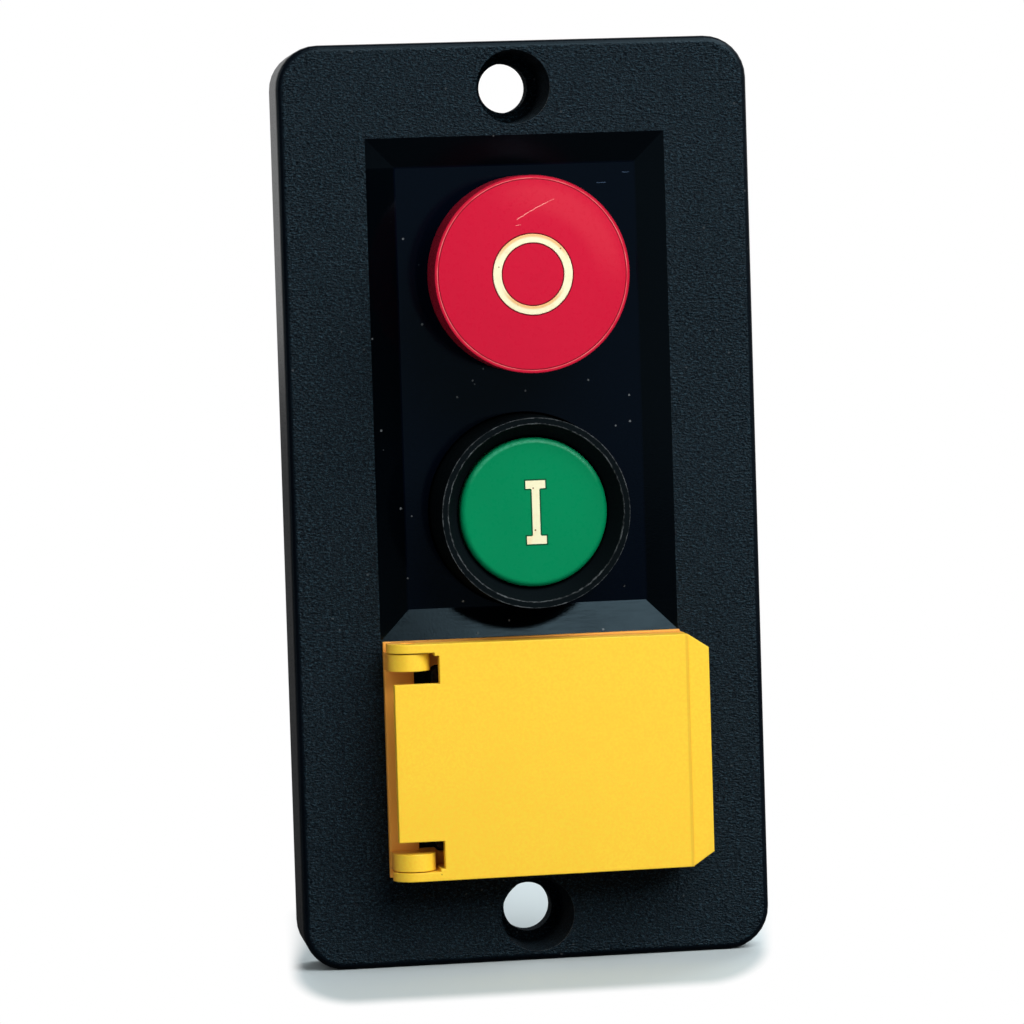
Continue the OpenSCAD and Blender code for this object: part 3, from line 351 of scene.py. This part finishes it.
def stop_finish():
    """The stop cap's red, scratched on the upper part of its face, with painted light: a highlight ring
    and a thin shade line along its edge, painted shade on its side wall and a painted sheen on the
    upper right of its face.
    """
    red = (0.555, 0.0080, 0.0355)
    f = moulded("stop_red", red, 0.30, 0.015, 0.001 * MM, Specular_IOR_Level=0.13)
    r = radius(f, *STOP_AXIS)
    face = f.ramp(f.y, -23.0 * MM, -23.3 * MM)
    centre = (STOP_AXIS[0], DOME_R - STOP_FACE, STOP_AXIS[1])
    f.put(f.bump.inputs["Normal"], f.crown(centre, f.ramp(r, 12.9 * MM, 12.6 * MM)))
    # Dark lines round both edges of the off ring, and a thin painted shade line just inside the cap's
    # edge.
    outlines_and_edge_shade = largest(
        f,
        between(f, r, 5.53 * MM, 5.76 * MM, 0.04 * MM),
        between(f, r, 4.24 * MM, 4.46 * MM, 0.04 * MM),
        between(f, r, 13.14 * MM, 13.24 * MM, 0.04 * MM),
    )
    outline_and_shade_share = f.times(f.times(outlines_and_edge_shade, face), 0.85)
    lined_and_shaded = f.mix(outline_and_shade_share, f.colour, (0.05, 0.003, 0.005))
    # A painted highlight ring along the cap's edge, broken into patches by noise; it goes with the
    # scratches into marks.
    edge_patches = f.ramp(f.noise(300.0, 2.0), 0.35, 0.6, 0.15, 0.6)
    edge = f.times(between(f, r, 13.29 * MM, 13.38 * MM, 0.04 * MM), edge_patches)
    marks = largest(
        f, edge,
        scratch(f, (-2.0 * MM, 39.9 * MM), (3.3 * MM, 42.6 * MM), 0.07 * MM, 0.15 * MM),
        scratch(f, (-2.2 * MM, 39.1 * MM), (-1.5 * MM, 39.2 * MM), 0.05 * MM),
    )
    # Painted shade: the cap's side wall is painted a darker red all round.
    side = f.ramp(r, 13.50 * MM, 13.72 * MM, 0.0, 0.6)
    lined_and_shaded = f.mix(side, lined_and_shaded, (0.10, 0.004, 0.010))
    # A painted sheen: a paler red band on the upper right of the face, standing in for a reflection.
    up = f.minus(f.z, STOP_AXIS[1])
    up_right = f.plus(f.times(f.x, 0.6), f.times(up, 0.8))
    ring = between(f, r, 8.6 * MM, 12.4 * MM, 1.0 * MM)
    painted_sheen = f.times(ring, f.ramp(up_right, 4.0 * MM, 10.5 * MM, 0.0, 0.5))
    with_painted_sheen = f.mix(painted_sheen, lined_and_shaded, (0.62, 0.030, 0.055))
    shown = f.times(f.times(marks, face), 0.9)
    f.feed("Base Color", f.mix(shown, with_painted_sheen, (0.90, 0.33, 0.30)))
    return f


def start_finish():
    """The start cap's green: a dark line round its inlaid bar, and a painted highlight along its upper
    edge.
    """
    f = moulded("start_green", (0.0, 0.220, 0.0830), 0.30, 0.04, 0.002 * MM, Specular_IOR_Level=0.1)
    face = f.ramp(f.y, -18.8 * MM, -18.95 * MM)
    dx = f.math("ABSOLUTE", f.minus(f.x, BAR_X))
    dz = f.math("ABSOLUTE", f.minus(f.z, START_AXIS[1]))
    stem = f.times(f.ramp(dx, 0.78 * MM, 0.70 * MM), f.ramp(dz, 4.69 * MM, 4.61 * MM))
    ends = between(f, dz, 3.14 * MM, 4.65 * MM, 0.04 * MM)
    serif = f.times(f.ramp(dx, 1.64 * MM, 1.56 * MM), ends)
    outline = f.times(f.times(f.math("MAXIMUM", stem, serif), face), 0.9)
    marks = f.math("MAXIMUM", outline, f.times(specks(f, 600.0, 0.09, 0.25), 0.6))
    # A painted highlight along the upper part of the cap's rim, broken by noise.
    rim = between(f, radius(f, *START_AXIS), 9.75 * MM, 10.2 * MM, 0.12 * MM)
    upper = f.times(rim, f.ramp(f.z, 2.5 * MM, 6.5 * MM))
    rim_highlight = f.times(upper, f.ramp(f.noise(1800.0, 3.0, 0.7), 0.3, 0.7, 0.25, 0.8))
    marked = f.mix(marks, f.colour, (0.0, 0.05, 0.02))
    f.feed("Base Color", f.mix(rim_highlight, marked, (0.05, 0.36, 0.20)))
    return f


def flap_finish():
    """The flap's yellow, with painted shade that turns it a deeper orange towards the plate, a painted
    shadow line at the step by the lip, and a few dark specks.
    """
    yellow = (0.94, 0.625, 0.041)
    f = moulded("flap_yellow", yellow, 0.42, 0.03, 0.004 * MM, 0.25 * MM, Specular_IOR_Level=0.3)
    spots = f.times(specks(f, 330.0, 0.05, 0.34), 0.8)
    # Painted shade: the yellow turns a deeper orange towards the plate.
    low = f.ramp(f.y, -18.2 * MM, -15.0 * MM, 0.0, 0.85)
    grainy = f.mix(f.ramp(f.noise(2600.0, 2.0, 0.7), 0.3, 0.7), f.colour, (0.93, 0.565, 0.036))
    deep = f.mix(low, grainy, (0.97, 0.40, 0.070))
    # A painted shadow line where the lid steps down to the lip.
    fold = between(f, f.x, 20.95 * MM, 21.46 * MM, 0.12 * MM)
    step_shadow = f.times(fold, f.ramp(f.y, -18.0 * MM, -18.6 * MM, 0.0, 0.34))
    with_step_shadow = f.mix(step_shadow, deep, (0.55, 0.26, 0.02))
    f.feed("Base Color", f.mix(spots, with_step_shadow, (0.16, 0.07, 0.01)))
    return f


FINISHES = {
    "plate_black": plate_finish(),
    "module_black": collar_finish(),
    "base_black": moulded("base_black", (0.030, 0.030, 0.032), 0.45, 0.25, 0.008 * MM, 0.2 * MM),
    "stop_red": stop_finish(),
    "start_green": start_finish(),
    "flap_yellow": flap_finish(),
    "nylon": moulded(
        "nylon", (0.78, 0.74, 0.64), 0.4, 0.08, 0.004 * MM, 0.15 * MM,
        Subsurface_Weight=0.1, Subsurface_Scale=1.0 * MM,
    ),
    "carrier_brown": moulded("carrier_brown", (0.13, 0.030, 0.016), 0.45, 0.25, 0.008 * MM),
    "rocker_black": moulded("rocker_black", (0.017, 0.017, 0.018), 0.28, 0.2, 0.004 * MM, 0.2 * MM),
    "spring_steel": metal("spring_steel", (0.66, 0.66, 0.67), 0.30),
    "screw_steel": metal("screw_steel", (0.70, 0.69, 0.66), 0.34),
    "core_iron": striped(
        "core_iron", (0.32, 0.33, 0.34), (0.10, 0.10, 0.10), 0.5 * MM, "z", 0.4, 0.9,
    ),
    "contact_copper": metal("contact_copper", (0.80, 0.42, 0.24), 0.34),
    "tab_brass": metal("tab_brass", (0.86, 0.66, 0.29), 0.36),
    "coil_copper": striped(
        "coil_copper", (0.52, 0.20, 0.07), (0.12, 0.03, 0.01), 0.24 * MM, "y", 0.3, 0.7,
    ),
    "bobbin_white": moulded("bobbin_white", (0.80, 0.75, 0.62), 0.45, 0.08),
    "pad_rubber": moulded("pad_rubber", (0.028, 0.028, 0.028), 0.7, 0.3, 0.02 * MM),
}

for part in frame["record"]["subparts"]:
    mesh = nodes[part["node"]].data
    mesh.materials.clear()
    mesh.materials.append(FINISHES[part["material_slot"]].material)


def solid(name, build, body, material):
    """A new piece from a bmesh builder, riding on a body."""
    mesh = bpy.data.meshes.new(name)
    bm = bmesh.new()
    build(bm)
    bmesh.ops.recalc_face_normals(bm, faces=bm.faces)
    bm.to_mesh(mesh)
    bm.free()
    piece = bpy.data.objects.new(name, mesh)
    bpy.context.scene.collection.objects.link(piece)
    mesh.materials.append(material)
    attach(piece, body)
    return piece


def ink_finish(name, ring):
    """Ivory filling of a symbol, with stains and pits; a ring also gets orange painted shade on its
    upper outer and lower inner edges.
    """
    f = moulded(name, (0.86, 0.83, 0.55), 0.45, 0.04, 0.006 * MM, Specular_IOR_Level=0.3)
    stain = f.ramp(f.noise(420.0, 3.0), 0.52, 0.75, 0.0, 0.35)
    if ring:
        r = radius(f, *STOP_AXIS)
        # Painted shade: orange on the ring's upper outer edge and lower inner edge, as in a groove lit
        # from above, merged with the stains.
        upper_outer_shade = f.times(f.ramp(f.z, 33.5 * MM, 36.5 * MM), f.ramp(r, 5.00 * MM, 5.35 * MM))
        lower_inner_shade = f.times(f.ramp(f.z, 31.0 * MM, 28.5 * MM), f.ramp(r, 5.00 * MM, 4.65 * MM))
        stain = largest(f, stain, f.times(f.math("MAXIMUM", upper_outer_shade, lower_inner_shade), 0.95))
    stained_and_shaded = f.mix(stain, f.colour, (0.80, 0.46, 0.18))
    f.feed("Base Color", f.mix(specks(f, 1000.0, 0.17, 0.46), stained_and_shaded, (0.20, 0.07, 0.02)))
    return f


def ring_symbol(bm, outer=5.58 * MM, inner=4.42 * MM, chamfer=0.06 * MM, steps=128):
    """The off ring, laid on the crown of the stop cap."""
    low, side, top = -SYMBOL_SINK, SYMBOL_LIFT * 0.4, SYMBOL_LIFT
    bands = (
        (outer, low), (outer, side), (outer - chamfer, top),
        (inner + chamfer, top), (inner, side), (inner, low),
    )
    loops = []
    for r, rise in bands:
        height = STOP_FACE - r * r / (2 * DOME_R) + rise
        loop = []
        for i in range(steps):
            turn = math.tau * i / steps
            spot = (STOP_AXIS[0] + r * math.cos(turn), -height, STOP_AXIS[1] + r * math.sin(turn))
            loop.append(bm.verts.new(spot))
        loops.append(loop)
    for a, b in zip(loops, loops[1:] + loops[:1]):
        for i in range(steps):
            j = (i + 1) % steps
            bm.faces.new((a[i], a[j], b[j], b[i]))


def bar_symbol(bm, tall=8.9 * MM, serif=2.8 * MM, serif_t=1.12 * MM, stem=1.08 * MM, bracket=0.22 * MM):
    """The on bar with bracketed serifs, laid on the start cap a little right of its middle."""
    h, s, t, w, b = tall / 2, serif / 2, serif_t, stem / 2, bracket
    quarter = [(s, h), (s, h - t), (w + b, h - t), (w + b * 0.3, h - t - b * 0.3), (w, h - t - b)]
    half = quarter + [(x, -z) for x, z in reversed(quarter)]
    outline = half + [(-x, z) for x, z in reversed(half)]
    middle = START_AXIS[0] + BAR_X
    top = [bm.verts.new((middle + x, -START_FACE - SYMBOL_LIFT, START_AXIS[1] + z)) for x, z in outline]
    low = [bm.verts.new((middle + x, -START_FACE + SYMBOL_SINK, START_AXIS[1] + z)) for x, z in outline]
    bm.faces.new(top)
    bm.faces.new(list(reversed(low)))
    for i in range(len(outline)):
        j = (i + 1) % len(outline)
        bm.faces.new((top[i], low[i], low[j], top[j]))


solid("off_symbol", ring_symbol, "stop_button", ink_finish("ring_ivory", True).material)
solid("on_symbol", bar_symbol, "start_button", ink_finish("bar_ivory", False).material)


def coil(bm, place, length, mean_r, wire, turns, steps=36, sides=10, closed=0.9):
    """A compression spring with closed ends, standing on place and pointing forward."""
    low, high = wire * (0.5 + closed), length - wire * (0.5 + closed)
    rings = []
    for i in range(round(turns * steps) + 1):
        t = i / steps
        rise = low + (high - low) * (t - closed) / (turns - 2 * closed)
        if t < closed:
            rise = wire * (0.5 + t)
        elif t > turns - closed:
            rise = length - wire * (0.5 + turns - t)
        turn = math.tau * t
        ring = []
        for k in range(sides):
            slant = math.tau * k / sides
            r = mean_r + wire / 2 * math.cos(slant)
            y = place[1] - rise - wire / 2 * math.sin(slant)
            spot = (place[0] + r * math.cos(turn), y, place[2] + r * math.sin(turn))
            ring.append(bm.verts.new(spot))
        rings.append(ring)
    for a, b in zip(rings, rings[1:]):
        for k in range(sides):
            bm.faces.new((a[k], a[k - 1], b[k - 1], b[k])).smooth = True
    bm.faces.new(rings[0])
    bm.faces.new(reversed(rings[-1]))


def spring(name, node, places, length, mean_r, wire, turns):
    """A spring node's coils, riding on the housing in place of the node."""

    def build(bm):
        for place in places:
            coil(bm, place, length, mean_r, wire, turns)

    piece = solid(name, build, "housing", FINISHES["spring_steel"].material)
    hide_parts(node)
    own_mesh(piece)


spring(
    "stop_coil", "stop_spring", [(0, -13.9 * MM, 32.3 * MM)],
    length=6.8 * MM, mean_r=6.25 * MM, wire=0.6 * MM, turns=3.5,
)
spring(
    "start_coil", "start_spring", [(0, -8.5 * MM, -1.0 * MM)],
    length=7.3 * MM, mean_r=6.8 * MM, wire=0.6 * MM, turns=4,
)
spring(
    "carrier_coils", "carrier_springs",
    [(0, 13.3 * MM, -10.5 * MM), (0, 13.3 * MM, 8.5 * MM)],
    length=6.0 * MM, mean_r=2.0 * MM, wire=0.35 * MM, turns=4.5,
)


def outward(azimuth, elevation):
    """Direction from the object to a place at these angles in degrees; 0, 0 is straight ahead."""
    a, e = math.radians(azimuth), math.radians(elevation)
    return Vector((math.sin(a) * math.cos(e), -math.cos(a) * math.cos(e), math.sin(e)))


def camera():
    """Placed from the fit of the photograph's edges and circles to the CAD sizes."""
    data = bpy.data.cameras.new("camera")
    data.lens = 184.1
    data.sensor_width = 36.0
    data.clip_end = 20.0
    target, distance = Vector((-1.674, -10.0, -1.379)) * MM, 740.4
    roll = math.radians(-1.751)
    back = outward(azimuth=-9.413, elevation=3.449)
    right = (-back).cross(Vector((0, 0, 1))).normalized()
    up = right.cross(-back)
    turned_right = right * math.cos(roll) + up * math.sin(roll)
    turned_up = up * math.cos(roll) - right * math.sin(roll)
    place = target + back * distance * MM
    eye = bpy.data.objects.new("camera", data)
    bpy.context.scene.collection.objects.link(eye)
    eye.matrix_world = Matrix((
        (turned_right.x, turned_up.x, back.x, place.x),
        (turned_right.y, turned_up.y, back.y, place.y),
        (turned_right.z, turned_up.z, back.z, place.z),
        (0, 0, 0, 1),
    ))
    bpy.context.scene.camera = eye


def lamp(name, azimuth, elevation, distance, size, power, mirrored=True):
    """A softbox aimed at the object; one that isn't mirrored leaves no highlight."""
    data = bpy.data.lights.new(name, "AREA")
    data.shape = "RECTANGLE"
    data.size, data.size_y = size
    data.energy = power
    away = outward(azimuth, elevation)
    light = bpy.data.objects.new(name, data)
    bpy.context.scene.collection.objects.link(light)
    light.location = away * distance
    light.rotation_mode = "QUATERNION"
    light.rotation_quaternion = (-away).to_track_quat("-Z", "Y")
    light.visible_glossy = mirrored


class Studio(Arithmetic):
    """Node helper for the floor's material and the world."""

    def __init__(self, tree, output):
        self.tree = tree
        tree.nodes.clear()
        self.out = tree.nodes.new(output)
        self.path = tree.nodes.new("ShaderNodeLightPath").outputs

    def node(self, kind, *values, output=0, **settings):
        node = self.tree.nodes.new(kind)
        for key, value in settings.items():
            setattr(node, key, value)
        for socket, value in zip(node.inputs, values):
            if isinstance(value, bpy.types.NodeSocket):
                self.tree.links.new(value, socket)
            elif value is not None:
                socket.default_value = value
        return node.outputs[output]

    def math(self, operation, *values):
        return self.node("ShaderNodeMath", *values, operation=operation)

    def ramp(self, *values):
        return self.node("ShaderNodeMapRange", *values, interpolation_type="SMOOTHSTEP")

    def place(self, output):
        coord = self.tree.nodes.new("ShaderNodeTexCoord").outputs[output]
        split = self.tree.nodes.new("ShaderNodeSeparateXYZ")
        self.tree.links.new(coord, split.inputs[0])
        return split.outputs

    def finish(self, shader):
        self.tree.links.new(shader, self.out.inputs["Surface"])


def floor():
    """A floor that holds the lamps' shadow, painted pale grey as shade in a zone round the plate, white
    further off to the camera and dim to other rays.
    """
    mesh = bpy.data.meshes.new("floor")
    bm = bmesh.new()
    bm.faces.new([bm.verts.new((x, y, cad_low.z)) for x, y in ((-3, -1), (3, -1), (3, 3), (-3, 3))])
    bm.to_mesh(mesh)
    bm.free()
    sheet = bpy.data.objects.new("floor", mesh)
    bpy.context.scene.collection.objects.link(sheet)
    paper = bpy.data.materials.new("floor_white")
    paper.use_nodes = True
    n = Studio(paper.node_tree, "ShaderNodeOutputMaterial")
    x, y, _ = n.place("Object")
    # How far a point lies outside the plate's footprint, slanted along the main line of sight
    eye_left, eye_ahead, eye_to_plate, middle = 0.1225, 0.7391, 0.7271, 0.1215
    half_w, reach, plate_ahead, fade_ahead = 0.029, 0.0100, 0.012, 0.034
    part_back, fade_back = 0.045, 0.045
    spread = n.math("DIVIDE", eye_to_plate, n.math("MAXIMUM", n.plus(y, eye_ahead), 0.1))
    slant = n.minus(n.times(n.plus(x, eye_left), spread), middle)
    inward = n.times(n.math("MAXIMUM", y, 0.0), 0.35)
    edge = n.minus(n.math("ABSOLUTE", slant), n.minus(half_w, inward))
    outside = n.math("MAXIMUM", n.plus(edge, 0.004), 0.0)
    beside = n.math("DIVIDE", outside, n.plus(inward, reach))
    before = n.math("DIVIDE", n.math("MAXIMUM", n.minus(-plate_ahead, y), 0.0), fade_ahead)
    behind = n.math("DIVIDE", n.math("MAXIMUM", n.minus(y, part_back), 0.0), fade_back)
    away = n.hypot(beside, before, behind)
    far = n.times(n.path["Is Camera Ray"], n.ramp(away, 0.74, 1.02, 0.0, 1.0))
    other = n.minus(0.30, n.times(n.path["Is Glossy Ray"], 0.26))
    # Painted shade: the pale grey near the object fades to white by the zone above and stands in for
    # its contact shadow; the lamps' own shadow falls on it too.
    pale = (0.42, 0.48, 0.50, 1)
    tone = n.node(
        "ShaderNodeMix", n.path["Is Camera Ray"], None, None, None, None, None, other, pale,
        data_type="RGBA", output=2,
    )
    lit = n.node("ShaderNodeBsdfDiffuse", tone)
    white = n.node("ShaderNodeEmission", (1, 1, 1, 1), 1.0)
    n.finish(n.node("ShaderNodeMixShader", far, lit, white))
    mesh.materials.append(paper)


def room():
    """White to the camera, a white wall behind the object in reflections, a dim room in front."""
    world = bpy.data.worlds.new("studio")
    bpy.context.scene.world = world
    world.use_nodes = True
    n = Studio(world.node_tree, "ShaderNodeOutputWorld")
    x, y, z = n.place("Generated")
    glossy = n.path["Is Glossy Ray"]
    wall = n.times(n.ramp(y, -0.35, 0.15, 0.0, 0.62), n.ramp(z, 0.45, 0.75, 1.0, 0.0))
    level_band = n.ramp(n.math("ABSOLUTE", z), 0.12, 0.30, 1.0, 0.0)
    narrow = n.ramp(n.math("ABSOLUTE", x), 0.38, 0.52, 1.0, 0.0)
    front = n.times(n.ramp(y, -0.3, -0.6, 0.0, 0.22), n.times(level_band, narrow))
    mirrored = n.times(glossy, n.plus(n.math("MAXIMUM", wall, front), 0.02))
    soft = n.times(n.minus(1.0, glossy), n.ramp(y, -0.2, 0.4, 0.12, 0.60))
    level = n.math("MAXIMUM", n.math("MAXIMUM", mirrored, soft), n.path["Is Camera Ray"])
    n.finish(n.node("ShaderNodeBackground", (1, 1, 1, 1), level))


camera()
floor()
room()
lamp("key", 33, 42, 0.95, (0.85, 0.8), 13.4)
lamp("fill", -35, 30, 1.0, (0.5, 0.5), 1.6, False)
lamp("back", 160, 32, 1.0, (0.8, 0.8), 14.0, False)
bpy.context.scene.view_settings.view_transform = "Standard"
